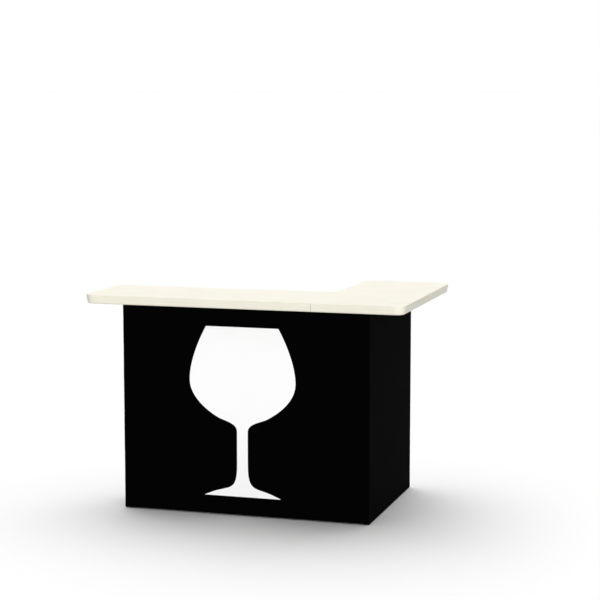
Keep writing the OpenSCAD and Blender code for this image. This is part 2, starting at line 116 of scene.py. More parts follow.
# Printed glass on the front: its axis, and its right half from the rim down. Each curve has a
# start, two handles and an end, as distances from the axis and heights above the floor.
GLASS_AXIS = -0.0166
GLASS_CURVES = (
    ((0.1831, 0.9255), (0.2105, 0.8776), (0.2687, 0.7592), (0.2687, 0.6612)),
    ((0.2687, 0.6612), (0.2687, 0.5665), (0.1585, 0.4985), (0.1167, 0.4783)),
    ((0.1167, 0.4783), (0.0771, 0.4633), (0.0273, 0.4529), (0.0273, 0.4180)),
    ((0.0273, 0.2539), (0.0273, 0.1086), (0.0696, 0.1524), (0.1721, 0.1048)),
    ((0.1721, 0.1048), (0.1830, 0.0998), (0.1925, 0.0975), (0.1945, 0.0948)),
)
GLASS_STEPS = (14, 14, 8, 14, 4)
GLASS_CLEAR = 0.3 * CLOTH_PITCH

# Hook tape
TAPE_SELVEDGE = 0.0016
TAPE_EDGE = 0.0003

# Screws: the head's profile is in shares of its radius and height, the recess in shares of the
# radius. A CAD screw's rim is past HEAD_RIM of its radius, its tip within TIP_REACH of its end.
SCREW_SIDES = 24
HEAD_PROFILE = ((0.60, 0.0), (0.78, 0.10), (0.91, 0.28), (0.98, 0.52), (1.0, 0.70), (1.0, 1.0))
RECESS_ARM = 0.46
RECESS_WIDTH = 0.10
RECESS_TAPER = 0.55
RECESS_DEPTH = 0.26
HEAD_RIM = 0.99
TIP_REACH = 1e-5

# Weld beads in the inner corners where tubes meet: the rounded face is in shares of the leg
BEAD_LEG = 0.0032
BEAD_FACE = ((0.78, 0.30), (0.55, 0.55), (0.30, 0.78))
BEAD_RIPPLE = 0.0024
BEAD_SINK = 0.0002
BEAD_ENDS = 0.0025
BEAD_FALL = 0.86
BEAD_START = 0.5
WELD_GAP = 0.0005

# Meshes: points closer than this are one, and edges sharper than these stay crisp
SAME_POINT = 1e-6
CRISP_EDGE = math.radians(38)
CUT_EDGE = math.radians(40)


def cover_limits():
    """Outer faces and ends of the covers, from their CAD boxes."""
    low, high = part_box("front_cover")
    right_low, right_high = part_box("right_wing_cover")
    return SimpleNamespace(
        left=low.x,
        right=high.x,
        front=low.y,
        bottom=low.z,
        top=high.z,
        section_back=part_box("right_cover_gusset")[1].y,
        wing_front=right_low.y,
        right_back=right_high.y,
        left_back=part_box("left_wing_cover")[1].y,
        right_hem=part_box("right_wing_hem")[0].x,
        left_hem=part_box("left_wing_hem")[1].x,
    )


cover = cover_limits()


# Shader building blocks


def connect(tree, value, socket):
    """Feeds a socket with another node's output, or sets its plain value."""
    if isinstance(value, bpy.types.NodeSocket):
        tree.links.new(value, socket)
    else:
        socket.default_value = value


def add_node(tree, kind, inputs=None, **settings):
    """Adds a shader node; an input's value may be a plain value or another node's output."""
    node = tree.nodes.new("ShaderNode" + kind)
    for name, value in settings.items():
        setattr(node, name, value)
    for socket, value in (inputs or {}).items():
        connect(tree, value, node.inputs[socket])
    return node


def calculate(tree, operation, *values):
    """One Math node."""
    return add_node(tree, "Math", dict(enumerate(values)), operation=operation).outputs[0]


def remap(tree, value, from_low, from_high, to_low, to_high, smooth=False):
    """One Map Range node, clamped."""
    inputs = {
        "Value": value,
        "From Min": from_low,
        "From Max": from_high,
        "To Min": to_low,
        "To Max": to_high,
    }
    kind = "SMOOTHSTEP" if smooth else "LINEAR"
    return add_node(tree, "MapRange", inputs, interpolation_type=kind).outputs["Result"]


def spread_noise(tree, noise, low, high):
    """Stretches the middle of a noise, where most of it lies, over a range."""
    return remap(tree, noise, *NOISE_MIDDLE, low, high)


def mix_value(tree, share, first, second):
    """Mix of two values."""
    inputs = {0: share, 2: first, 3: second}
    return add_node(tree, "Mix", inputs, data_type="FLOAT").outputs[0]


def mix_colour(tree, share, first, second):
    """Mix of two colours; a plain one is written as its red, green and blue."""
    node = add_node(tree, "Mix", {0: share}, data_type="RGBA")
    for socket, colour in ((6, first), (7, second)):
        connect(tree, (*colour, 1) if isinstance(colour, tuple) else colour, node.inputs[socket])
    return node.outputs[2]


def shader_group(name, inputs, outputs):
    """A node group with float outputs; an input without a default is a vector."""
    group = bpy.data.node_groups.new(name, "ShaderNodeTree")
    for socket, default in inputs.items():
        kind = "NodeSocketVector" if default is None else "NodeSocketFloat"
        made = group.interface.new_socket(socket, in_out="INPUT", socket_type=kind)
        if default is not None:
            made.default_value = default
    for socket in outputs:
        group.interface.new_socket(socket, in_out="OUTPUT", socket_type="NodeSocketFloat")
    start = group.nodes.new("NodeGroupInput")
    end = group.nodes.new("NodeGroupOutput")
    return group, start.outputs, end.inputs


def use_group(tree, group, **inputs):
    """Places a shared effect in a material and gives its outputs."""
    node = add_node(tree, "Group", node_tree=group)
    for socket, value in inputs.items():
        connect(tree, value, node.inputs[socket.capitalize()])
    return node.outputs


# Effects that several finishes share


def woven_threads():
    """Plain weave: rounded threads that pass over and under each other."""
    inputs = {"Surface": None, "Pitch": 0.001}
    group, start, end = shader_group("woven_threads", inputs, ["Height"])
    axes = add_node(group, "SeparateXYZ", {0: start["Surface"]})
    steps = [calculate(group, "DIVIDE", axes.outputs[i], start["Pitch"]) for i in (0, 1)]
    cells = [calculate(group, "FLOOR", step) for step in steps]
    arches = []
    for step in steps:
        place = calculate(group, "SUBTRACT", calculate(group, "FRACT", step), 0.5)
        arches.append(calculate(group, "COSINE", calculate(group, "MULTIPLY", place, math.pi)))
    parity = calculate(group, "MODULO", calculate(group, "ADD", *cells), 2.0)
    side = calculate(group, "ABSOLUTE", parity)
    over = mix_value(group, side, arches[0], arches[1])
    along = mix_value(group, side, arches[1], arches[0])
    lift = calculate(group, "MULTIPLY_ADD", along, THREAD_DIP, 1 - THREAD_DIP)
    connect(group, calculate(group, "MULTIPLY", over, lift), end["Height"])
    return group


def stitch_row():
    """A row of sewn stitches at a distance from a line."""
    inputs = {"Along": 0.0, "Across": 0.0, "Pitch": 0.003, "Width": 0.0006}
    group, start, end = shader_group("stitch_row", inputs, ["Thread"])
    side = calculate(group, "ABSOLUTE", start["Across"])
    ridge = remap(group, side, 0.0, start["Width"], 1.0, 0.0, smooth=True)
    step = calculate(group, "FRACT", calculate(group, "DIVIDE", start["Along"], start["Pitch"]))
    middle = calculate(group, "ABSOLUTE", calculate(group, "SUBTRACT", step, 0.5))
    dash = remap(group, middle, *STITCH_ENDS, 1.0, 0.0, smooth=True)
    connect(group, calculate(group, "MULTIPLY", ridge, dash), end["Thread"])
    return group


def fine_grain():
    """Fine surface grain of a given size, with a slow cloudiness many times larger."""
    inputs = {"Surface": None, "Grain": 0.001, "Cloud": 0.1}
    group, start, end = shader_group("fine_grain", inputs, ["Height", "Cloudiness"])
    for size, detail, output in (("Grain", 2.0, "Height"), ("Cloud", 3.0, "Cloudiness")):
        scale = calculate(group, "DIVIDE", 1.0, start[size])
        inputs = {"Vector": start["Surface"], "Scale": scale, "Detail": detail}
        connect(group, add_node(group, "TexNoise", inputs).outputs["Fac"], end[output])
    return group


def drawn_lines():
    """Fine lines drawn out along one axis, as brushing or wiping leaves them."""
    inputs = {"Surface": None, "Length": 0.1, "Width": 0.0005}
    group, start, end = shader_group("drawn_lines", inputs, ["Lines"])
    along = calculate(group, "DIVIDE", 1.0, start["Length"])
    across = calculate(group, "DIVIDE", 1.0, start["Width"])
    scales = add_node(group, "CombineXYZ", {0: along, 1: across, 2: across}).outputs[0]
    inputs = {0: start["Surface"], 1: scales}
    stretched = add_node(group, "VectorMath", inputs, operation="MULTIPLY").outputs[0]
    inputs = {"Vector": stretched, "Scale": 1.0, "Detail": 3.0}
    connect(group, add_node(group, "TexNoise", inputs).outputs["Fac"], end["Lines"])
    return group


def rubbed_edges():
    """Mask of the outer edges, where handling polishes a coat."""
    group, start, end = shader_group("rubbed_edges", {"Reach": 0.001}, ["Rub"])
    rounded = add_node(group, "Bevel", {"Radius": start["Reach"]}, samples=4).outputs[0]
    plain = add_node(group, "NewGeometry").outputs["Normal"]
    alike = add_node(group, "VectorMath", {0: rounded, 1: plain}, operation="DOT_PRODUCT")
    connect(group, remap(group, alike.outputs["Value"], *RUB_ALIKE, 1.0, 0.0), end["Rub"])
    return group


WEAVE = woven_threads()
STITCH = stitch_row()
GRAIN = fine_grain()
LINES = drawn_lines()
RUB = rubbed_edges()


# Finishes


def new_material(name, **constants):
    """A Principled material; the keywords are constants for its own sockets."""
    material = bpy.data.materials.new(name)
    material.use_nodes = True
    tree = material.node_tree
    principled = tree.nodes["Principled BSDF"]
    for socket, value in constants.items():
        principled.inputs[socket.replace("_", " ")].default_value = value
    return material, tree, principled


def feed_shader(tree, principled, colour, rough, height, depth, strength):
    """Feeds the shader with a colour, a roughness, and a bump of a depth in metres."""
    bump = add_node(tree, "Bump", {"Height": height, "Distance": depth, "Strength": strength})
    connect(tree, colour, principled.inputs["Base Color"])
    connect(tree, rough, principled.inputs["Roughness"])
    connect(tree, bump.outputs["Normal"], principled.inputs["Normal"])


def piece_surface(tree):
    """Coordinates in metres that stay with the piece."""
    return add_node(tree, "TexCoord").outputs["Object"]


def cloth_surface(tree):
    """Coordinates in metres on the unrolled cloth: along it and up from the floor."""
    return add_node(tree, "TexCoord").outputs["UV"]


def seam_grime_and_shade(tree, surface):
    """Mask of the rim's edges at the seam, where the two panels knock together: grime there, and
    painted shade of the gap between them.
    """
    low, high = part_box("right_counter")
    axes = add_node(tree, "SeparateXYZ", {0: surface})
    from_seam = calculate(tree, "ABSOLUTE", calculate(tree, "SUBTRACT", axes.outputs[0], low.x))
    near = remap(tree, from_seam, SEAM_GRIME_AND_SHADE / 2, SEAM_GRIME_AND_SHADE, GRIME_AND_SHADE_LEVEL, 0.0, smooth=True)
    fade = (high.z - GRIME_AND_SHADE_BELOW, high.z - GRIME_AND_SHADE_BELOW / 2)
    below = remap(tree, axes.outputs[2], *fade, 1.0, 0.0)
    return calculate(tree, "MULTIPLY", near, below)


def counter_cream():
    """Moulded cream polyethylene with a satin grain, faint wipe marks, and grime with painted shade
    at the seam.
    """
    material, tree, principled = new_material("counter_cream", Specular_IOR_Level=0.16)
    surface = piece_surface(tree)
    grain = use_group(tree, GRAIN, surface=surface, grain=0.0007, cloud=0.16)
    wipes = use_group(tree, LINES, surface=surface, length=0.22, width=0.004)
    cloud = spread_noise(tree, grain["Cloudiness"], 0.0, 1.0)
    cream = mix_colour(tree, cloud, (0.785, 0.757, 0.642), (0.815, 0.788, 0.672))
    # Darker at the seam: grime, and painted shade of the gap between the panels.
    colour = mix_colour(tree, seam_grime_and_shade(tree, surface), cream, (0.300, 0.280, 0.225))
    rough = spread_noise(tree, wipes["Lines"], 0.46, 0.56)
    feed_shader(tree, principled, colour, rough, grain["Height"], depth=0.00006, strength=0.35)
    return material


def powder_coat():
    """Silver-grey powder coat on the tubes: orange peel, fine flake, rubbed edges."""
    material, tree, principled = new_material("powder_coat", Metallic=0.35)
    surface = piece_surface(tree)
    peel = use_group(tree, GRAIN, surface=surface, grain=0.0016, cloud=0.20)
    flake = add_node(tree, "TexVoronoi", {"Vector": surface, "Scale": 2600.0})
    rub = use_group(tree, RUB, reach=0.0012)
    cloud = spread_noise(tree, peel["Cloudiness"], 0.0, 1.0)
    spark = remap(tree, flake.outputs["Distance"], 0.1, 0.6, 0.35, 0.0)
    polish = calculate(tree, "MULTIPLY", rub["Rub"], 0.30)
    coat = mix_colour(tree, cloud, (0.40, 0.41, 0.42), (0.46, 0.47, 0.48))
    flaked = mix_colour(tree, spark, coat, (0.62, 0.63, 0.64))
    colour = mix_colour(tree, polish, flaked, (0.66, 0.67, 0.68))
    rough = spread_noise(tree, peel["Height"], 0.36, 0.48)
    feed_shader(tree, principled, colour, rough, peel["Height"], depth=0.00008, strength=0.45)
    return material


def brushed_sheet():
    """Bent sheet of the bottle rails, brushed along its length."""
    material, tree, principled = new_material("brushed_sheet", Metallic=1.0)
    surface = piece_surface(tree)
    brushing = use_group(tree, LINES, surface=surface, length=0.09, width=0.0004)
    smears = use_group(tree, GRAIN, surface=surface, grain=0.02, cloud=0.25)
    tone = remap(tree, brushing["Lines"], 0.25, 0.75, 0.0, 1.0)
    colour = mix_colour(tree, tone, (0.50, 0.50, 0.49), (0.68, 0.68, 0.67))
    rough = spread_noise(tree, smears["Cloudiness"], 0.28, 0.42)
    feed_shader(tree, principled, colour, rough, brushing["Lines"], depth=0.00003, strength=0.5)
    return material


def zinc_plate():
    """Zinc-plated hinges, pins, pegs and dowels, with a faint spangle."""
    material, tree, principled = new_material("zinc_plate", Metallic=1.0)
    surface = piece_surface(tree)
    spangle = add_node(tree, "TexVoronoi", {"Vector": surface, "Scale": 260.0})
    haze = use_group(tree, GRAIN, surface=surface, grain=0.0009, cloud=0.02)
    patch = remap(tree, spangle.outputs["Distance"], 0.0, 0.8, 0.0, 1.0)
    colour = mix_colour(tree, patch, (0.58, 0.59, 0.61), (0.70, 0.69, 0.66))
    rough = spread_noise(tree, haze["Cloudiness"], 0.24, 0.38)
    feed_shader(tree, principled, colour, rough, haze["Height"], depth=0.00003, strength=0.3)
    return material


def moulded_black():
    """Black moulded feet and tube plugs, scuffed grey along the edges."""
    material, tree, principled = new_material("moulded_black")
    surface = piece_surface(tree)
    grain = use_group(tree, GRAIN, surface=surface, grain=0.0008, cloud=0.03)
    rub = use_group(tree, RUB, reach=0.0015)
    scuff = calculate(tree, "MULTIPLY", rub["Rub"], grain["Cloudiness"])
    colour = mix_colour(tree, scuff, (0.020, 0.020, 0.021), (0.10, 0.10, 0.10))
    rough = spread_noise(tree, grain["Height"], 0.45, 0.62)
    feed_shader(tree, principled, colour, rough, grain["Height"], depth=0.0001, strength=0.5)
    return material


def hook_tape():
    """Black hook and loop tape: a matted field of small loops, darker between them by painted
    shade.
    """
    material, tree, principled = new_material("hook_tape", Specular_IOR_Level=0.15)
    surface = piece_surface(tree)
    loops = add_node(tree, "TexVoronoi", {"Vector": surface, "Scale": 900.0, "Randomness": 0.8})
    mat = use_group(tree, GRAIN, surface=surface, grain=0.0005, cloud=0.01)
    tuft_and_shade = remap(tree, loops.outputs["Distance"], 0.1, 0.7, 1.0, 0.0)
    # Darker between the loops: painted shade in the hollows.
    colour = mix_colour(tree, tuft_and_shade, (0.006, 0.006, 0.006), (0.030, 0.030, 0.031))
    height = calculate(tree, "ADD", tuft_and_shade, mat["Height"])
    feed_shader(tree, principled, colour, 0.85, height, depth=0.0004, strength=0.8)
    return material


def hem_stitches(tree, surface):
    """Two rows of stitches along the hems at a cover's top and bottom."""
    axes = add_node(tree, "SeparateXYZ", {0: surface})
    middle = (cover.bottom + cover.top) / 2
    hem_line = (cover.top - cover.bottom) / 2 - HEM_WIDTH + STITCH_SPACING
    from_middle = calculate(tree, "ABSOLUTE", calculate(tree, "SUBTRACT", axes.outputs[1], middle))
    from_line = calculate(tree, "ABSOLUTE", calculate(tree, "SUBTRACT", from_middle, hem_line))
    across = calculate(tree, "SUBTRACT", from_line, STITCH_SPACING / 2)
    row = {"across": across, "pitch": STITCH_PITCH, "width": STITCH_WIDTH}
    return use_group(tree, STITCH, along=axes.outputs[0], **row)["Thread"]


def sewn_cloth(name, thread, gap, rough, specular):
    """Woven cloth with sewn hems; the colours are those of a thread and of the gap beside it, where
    painted shade darkens the cloth.
    """
    material, tree, principled = new_material(name, Specular_IOR_Level=specular)
    surface = cloth_surface(tree)
    weave = use_group(tree, WEAVE, surface=surface, pitch=WEAVE_PITCH)
    slub = use_group(tree, GRAIN, surface=surface, grain=0.004, cloud=0.09)
    yarn = spread_noise(tree, slub["Cloudiness"], 0.82, 1.0)
    # Darker where the threads dip under: painted shade in the weave, times a random slub tone.
    shade = calculate(tree, "MULTIPLY", weave["Height"], yarn)
    colour = mix_colour(tree, shade, gap, thread)
    worn = remap(tree, shade, 0.0, 1.0, rough + GAP_ROUGHER, rough)
    stitches = hem_stitches(tree, surface)
    height = calculate(tree, "MULTIPLY_ADD", stitches, STITCH_HEIGHT, weave["Height"])
    feed_shader(tree, principled, colour, worn, height, depth=0.00012, strength=0.35)
    return material


def seen_share(tree):
    """1 for rays from the camera, reflections and glass, 0 for light that bounces."""
    path = add_node(tree, "LightPath")
    share = path.outputs["Is Camera Ray"]
    for ray in ("Is Glossy Ray", "Is Transmission Ray"):
        share = calculate(tree, "MAXIMUM", share, path.outputs[ray])
    return share


def floor_white():
    """Plain white floor: full white to the eye and to reflections, greyer as a bounce card."""
    material = bpy.data.materials.new("floor_white")
    material.use_nodes = True
    tree = material.node_tree
    tree.nodes.clear()
    tone = mix_value(tree, seen_share(tree), FLOOR_BOUNCE, FLOOR_SEEN)
    surface = add_node(tree, "BsdfDiffuse", {"Color": tone})
    add_node(tree, "OutputMaterial", {"Surface": surface.outputs[0]})
    return material


FINISHES = {
    "frame": powder_coat(),
    "counter": counter_cream(),
    "tape": hook_tape(),
    "plastic": moulded_black(),
    "bottle_rail": brushed_sheet(),
    "steel": zinc_plate(),
}
# The second colour of each cloth is its thread's colour in painted shade between the threads.
FRONT_INK = sewn_cloth("front_ink", (0.0014, 0.0014, 0.0015), (0.0008, 0.0008, 0.0008),
                       rough=0.80, specular=0.004)
GLASS_INK = sewn_cloth("glass_ink", (0.920, 0.920, 0.918), (0.885, 0.885, 0.882),
                       rough=0.70, specular=0.10)
CLOTH_INSIDE = sewn_cloth("cloth_inside", (0.020, 0.020, 0.021), (0.010, 0.010, 0.011),
                          rough=0.84, specular=0.010)
SIDE_CLOTH = sewn_cloth("side_cloth", (0.0038, 0.0038, 0.0039), (0.0022, 0.0022, 0.0023),
                        rough=0.78, specular=0.002)


def dress_cad_nodes():
    """Gives every CAD node the finish of its slot; cloth stands for the nodes of the covers."""
    for part in frame["record"]["subparts"]:
        finish = FINISHES.get(part["material_slot"])
        node = frame["nodes"][part["node"]]
        if finish:
            node.data.materials.clear()
            node.data.materials.append(finish)


# Mesh building blocks


def new_piece(name, mesh, rides_on, slot, *nodes):
    """A piece that rides on a body and stands for CAD nodes; the slot is not used."""
    piece = bpy.data.objects.new(name, mesh)
    bpy.context.scene.collection.objects.link(piece)
    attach(piece, rides_on)
    if nodes:
        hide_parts(*nodes)
    return piece


def finish_mesh(solid, name, slot, rides_on, *nodes):
    """Closes a mesh built face by face and makes it a piece with crisp edges."""
    bmesh.ops.remove_doubles(solid, verts=solid.verts, dist=SAME_POINT)
    bmesh.ops.recalc_face_normals(solid, faces=solid.faces)
    for face in solid.faces:
        face.smooth = True
    mesh = bpy.data.meshes.new(name)
    solid.to_mesh(mesh)
    solid.free()
    mesh.materials.append(FINISHES[slot])
    piece = new_piece(name, mesh, rides_on, slot, *nodes)
    piece.modifiers.new("crisp_edges", "EDGE_SPLIT").split_angle = CRISP_EDGE


def join_loops(solid, loops):
    """Faces between loops of points that follow each other, closed at both ends."""
    for near, far in zip(loops, loops[1:]):
        for i in range(len(near)):
            j = (i + 1) % len(near)
            solid.faces.new((near[i], near[j], far[j], far[i]))
    solid.faces.new(loops[0])
    solid.faces.new(loops[-1])


def box_of(points):
    """Lowest and highest corner of some points."""
    return [Vector(pick(point[i] for point in points) for i in range(3)) for pick in (min, max)]


def along_axis(axis, way=1):
    """Unit vector along one of the three axes, or against it."""
    return Vector(float(i == axis) for i in range(3)) * way


def inside(point, outline):
    """Whether a point lies within a closed outline."""
    crossings = 0
    for a, b in zip(outline, outline[1:] + outline[:1]):
        if (a.y > point.y) != (b.y > point.y):
            crossings += point.x < a.x + (b.x - a.x) * (point.y - a.y) / (b.y - a.y)
    return crossings % 2 == 1


def middle_of(points):
    """Mean of some flat points."""
    return sum(points, Vector((0, 0))) / len(points)


def linked_points(start, left):
    """Points of the solid that a vertex belongs to; takes its vertices out of those left."""
    left.remove(start)
    heap, reached = [start], []
    while heap:
        vertex = heap.pop()
        reached.append(vertex.co.copy())
        fresh = {edge.other_vert(vertex) for edge in vertex.link_edges} & left
        left -= fresh
        heap += fresh
    return reached


def solids_of(node):
    """Points of each separate solid of a CAD node."""
    solid = bmesh.new()
    solid.from_mesh(frame["nodes"][node].data)
    bmesh.ops.remove_doubles(solid, verts=solid.verts, dist=SAME_POINT)
    left = set(solid.verts)
    solids = [linked_points(vertex, left) for vertex in solid.verts if vertex in left]
    solid.free()
    return sorted(solids, key=lambda points: tuple(box_of(points)[0]))


def body_of(node):
    """Name of the body that a CAD node belongs to."""
    bodies = frame["record"]["behaviour"]["bodies"]
    return next(name for name, nodes in bodies.items() if node in nodes)


# Covers


def ease(value):
    """Smooth step of a value from 0 to 1."""
    value = min(max(value, 0.0), 1.0)
    return value * value * (3 - 2 * value)


def split_run(length, pitch):
    """Even shares of a run, about a pitch apart, without its end."""
    count = max(1, math.ceil(length / pitch))
    return [i / count for i in range(count)]


def bent_corner(end, side, heading):
    """Places round a bend in plan, with their outward sides, from the end of a straight run."""
    centre = end - side * CLOTH_BEND
    for step in range(BEND_STEPS):
        angle = math.pi / 2 * step / BEND_STEPS
        bent = side * math.cos(angle) + heading * math.sin(angle)
        yield centre + bent * CLOTH_BEND, bent


def cloth_route(*corners):
    """Stations along a cloth in plan, with its bends rounded: distance, place and outward side."""
    corners = [Vector(corner) for corner in corners]
    places = []
    start = corners[0]
    for i, corner in enumerate(corners[1:], 1):
        heading = (corner - corners[i - 1]).normalized()
        side = Vector((heading.y, -heading.x))
        last = i == len(corners) - 1
        end = corner if last else corner - heading * CLOTH_BEND
        shares = split_run((end - start).length, CLOTH_PITCH)
        places += [(start.lerp(end, share), side) for share in shares]
        if last:
            places.append((end, side))
        else:
            places += bent_corner(end, side, heading)
            start = corner + (corners[i + 1] - corner).normalized() * CLOTH_BEND
    route = [(0.0, *places[0])]
    for place, side in places[1:]:
        route.append((route[-1][0] + (place - route[-1][1]).length, place, side))
    return route


def on_route(route, along):
    """Place and outward side at a distance along a route."""
    for (a, first, side), (b, second, next_side) in zip(route, route[1:]):
        if along <= b:
            share = (along - a) / (b - a)
            return first.lerp(second, share), side.lerp(next_side, share).normalized()
    return route[-1][1:]


def cloth_rows():
    """Heights of a cover's rows, close together where the hems step."""
    hem = [0.0, HEM_WIDTH - HEM_EDGE, HEM_WIDTH]
    between = cover.top - cover.bottom - 2 * HEM_WIDTH
    shares = split_run(between, CLOTH_PITCH)[1:]
    low = [cover.bottom + h for h in hem]
    high = [cover.top - h for h in reversed(hem)]
    return low + [cover.bottom + HEM_WIDTH + between * share for share in shares] + high


def cloth_relief(along, height, length):
    """How far a cover stands out: doubled hems, and a little slack between them."""
    from_edge = min(height - cover.bottom, cover.top - height)
    from_end = min(along, length - along)
    hem = HEM_STEP * (1 - ease((from_edge - HEM_WIDTH + HEM_EDGE) / HEM_EDGE))
    free = ease((from_edge - HEM_WIDTH) / SLACK_STARTS[1]) * ease(from_end / SLACK_STARTS[0])
    turns = [2 * math.pi * run / wave for run, wave in zip((along, height), SLACK_WAVES)]
    return hem + SLACK * free * math.sin(turns[0]) * math.sin(turns[1])


def glass_outline(axis):
    """Plain stemmed glass round an axis, from the right end of its rim round to the left."""
    half = []
    for curve, steps in zip(GLASS_CURVES, GLASS_STEPS):
        points = geometry.interpolate_bezier(*(Vector(knot) for knot in curve), steps)
        follows = half and (half[-1] - points[0]).length < SAME_POINT
        half += points[1:] if follows else points
    right = [Vector((axis + x, height)) for x, height in half]
    return right + [Vector((axis - x, height)) for x, height in reversed(half)]


def cut_cloth(name, route, figure=()):
    """Mesh of a cover cut flat, with a figure's outline in it, and bent round its route."""
    flat = [Vector((along, height)) for along, _, _ in route for height in cloth_rows()]
    flat = [p for p in flat if all((p - q).length > GLASS_CLEAR for q in figure)]
    first, count = len(flat), len(figure)
    edges = [(first + i, first + (i + 1) % count) for i in range(count)]
    cut = geometry.delaunay_2d_cdt(flat + list(figure), edges, [], 0, SAME_POINT)
    points, faces = cut[0], cut[2]
    bent = []
    for point in points:
        place, side = on_route(route, point.x)
        place = place + side * cloth_relief(point.x, point.y, route[-1][0])
        bent.append((place.x, place.y, point.y))
    mesh = bpy.data.meshes.new(name)
    mesh.from_pydata(bent, [], faces)
    layer = mesh.uv_layers.new(name="unrolled")
    for loop in mesh.loops:
        layer.data[loop.index].uv = points[loop.vertex_index]
    mesh.polygons.foreach_set("use_smooth", [True] * len(mesh.polygons))
    return mesh, [middle_of([points[i] for i in face]) for face in faces]


def finish_cloth(piece):
    """Thickness inwards and crisp cut edges."""
    thickness = piece.modifiers.new("cloth_thickness", "SOLIDIFY")
    thickness.thickness = CLOTH_THICK
    thickness.offset = -1
    thickness.material_offset = len(piece.data.materials) - 1
    piece.modifiers.new("cut_edges", "EDGE_SPLIT").split_angle = CUT_EDGE


def front_cloth():
    """One cloth round the front section: printed front with the glass, plain sides."""
    route = cloth_route((cover.left, cover.section_back), (cover.left, cover.front),
                        (cover.right, cover.front), (cover.right, cover.section_back))
    front_start = (route[-1][0] - (cover.right - cover.left)) / 2
    figure = glass_outline(front_start + GLASS_AXIS - cover.left)
    mesh, centres = cut_cloth("front_cover_cloth", route, figure)
    piece = new_piece("front_cover_cloth", mesh, "front_section", "cover",
                      "front_cover", "left_cover_gusset", "right_cover_gusset")
    for finish in (FRONT_INK, GLASS_INK, SIDE_CLOTH, CLOTH_INSIDE):
        mesh.materials.append(finish)
    for face, centre in zip(mesh.polygons, centres):
        on_front = on_route(route, centre.x)[1].y < -math.sqrt(0.5)
        face.material_index = 1 if inside(centre, figure) else 0 if on_front else 2
    finish_cloth(piece)


def wing_cloth(wing, route):
    """Cloth of a side frame, turned round its rear post."""
    mesh, _ = cut_cloth(wing + "_cloth", route)
    for finish in (SIDE_CLOTH, CLOTH_INSIDE):
        mesh.materials.append(finish)
    piece = new_piece(wing + "_cloth", mesh, wing, "cover", wing + "_cover", wing + "_hem")
    finish_cloth(piece)


def wing_cloths():
    """Both side frames' cloths, run so that their outward side is on the right of the route."""
    wing_cloth("right_wing", cloth_route(
        (cover.right, cover.wing_front), (cover.right, cover.right_back),
        (cover.right_hem, cover.right_back)))
    wing_cloth("left_wing", cloth_route(
        (cover.left_hem, cover.left_back), (cover.left, cover.left_back),
        (cover.left, cover.wing_front)))


# Hook tape


def tape_strip(strips, low, high):
    """Adds a strip of tape: on both broad faces, a raised field of loops between flat selvedges."""
    size = high - low
    thin = min(range(3), key=lambda i: size[i])
    across = [i for i in range(3) if i != thin]
    face = ((TAPE_SELVEDGE + TAPE_EDGE, 0.0), (TAPE_SELVEDGE, TAPE_EDGE),
            (TAPE_EDGE, TAPE_EDGE), (0.0, 2 * TAPE_EDGE))
    back = tuple((inset, size[thin] - depth) for inset, depth in reversed(face))
    loops = []
    for inset, depth in face + back:
        loop = []
        for ends in ((0, 0), (1, 0), (1, 1), (0, 1)):
            corner = low.copy()
            corner[thin] += depth
            for i, far_end in zip(across, ends):
                corner[i] = high[i] - inset if far_end else low[i] + inset
            loop.append(strips.verts.new(corner))
        loops.append(loop)
    join_loops(strips, loops)


def tape_strips():
    """Hook tape between the covers and the frame, and the pads under the counter."""
    for node in ("front_tapes", "right_wing_tapes", "left_wing_tapes",
                 "front_counter_pads", "right_wing_pads", "left_wing_pads"):
        strips = bmesh.new()
        for points in solids_of(node):
            tape_strip(strips, *box_of(points))
        finish_mesh(strips, node + "_strips", "tape", body_of(node), node)


# Screws


def screw_circle(radius, height=0.0):
    """Points round a screw's axis."""
    turns = [2 * math.pi * i / SCREW_SIDES for i in range(SCREW_SIDES)]
    return [Vector((radius * math.cos(turn), radius * math.sin(turn), height)) for turn in turns]


def cross_outline():
    """Outline of the cross recess, for a head of radius 1."""
    arm = ((RECESS_ARM, -RECESS_WIDTH), (RECESS_ARM, RECESS_WIDTH), (RECESS_WIDTH, RECESS_WIDTH))
    quarters = ((1, 0), (0, 1), (-1, 0), (0, -1))
    return [Vector((x * c - y * s, x * s + y * c)) for c, s in quarters for x, y in arm]


def head_plate(cross):
    """Faces of the flat on a head of radius 1, round the recess."""
    rim = [point.xy for point in screw_circle(HEAD_PROFILE[0][0])]
    edges = []
    for first, count in ((0, len(rim)), (len(rim), len(cross))):
        edges += [(first + i, first + (i + 1) % count) for i in range(count)]
    cut = geometry.delaunay_2d_cdt(rim + cross, edges, [], 1, SAME_POINT)
    faces = [[cut[0][i] for i in face] for face in cut[2]]
    return [face for face in faces if not inside(middle_of(face), cross)]


def screw_shape(head, shank, height, length):
    """Faces of a domed screw with a cross recess, its top at the origin and its tip below."""
    cross = cross_outline()
    faces = [[p.to_3d() * head for p in face] for face in head_plate(cross)]
    deep = Vector((0, 0, -RECESS_DEPTH * head))
    upper = [p.to_3d() * head for p in cross]
    lower = [deep + p * RECESS_TAPER for p in upper]
    for i in range(len(cross)):
        faces.append([upper[i - 1], upper[i], lower[i], lower[i - 1]])
    faces.append(lower)
    rings = [(head * share, -height * depth) for share, depth in HEAD_PROFILE]
    rings += [(shank, -height), (shank, shank / 2 - length), (shank / 2, -length)]
    loops = [screw_circle(*ring) for ring in rings]
    for upper, lower in zip(loops, loops[1:]):
        for i in range(SCREW_SIDES):
            faces.append([upper[i - 1], lower[i - 1], lower[i], upper[i]])
    return faces + [loops[-1]]


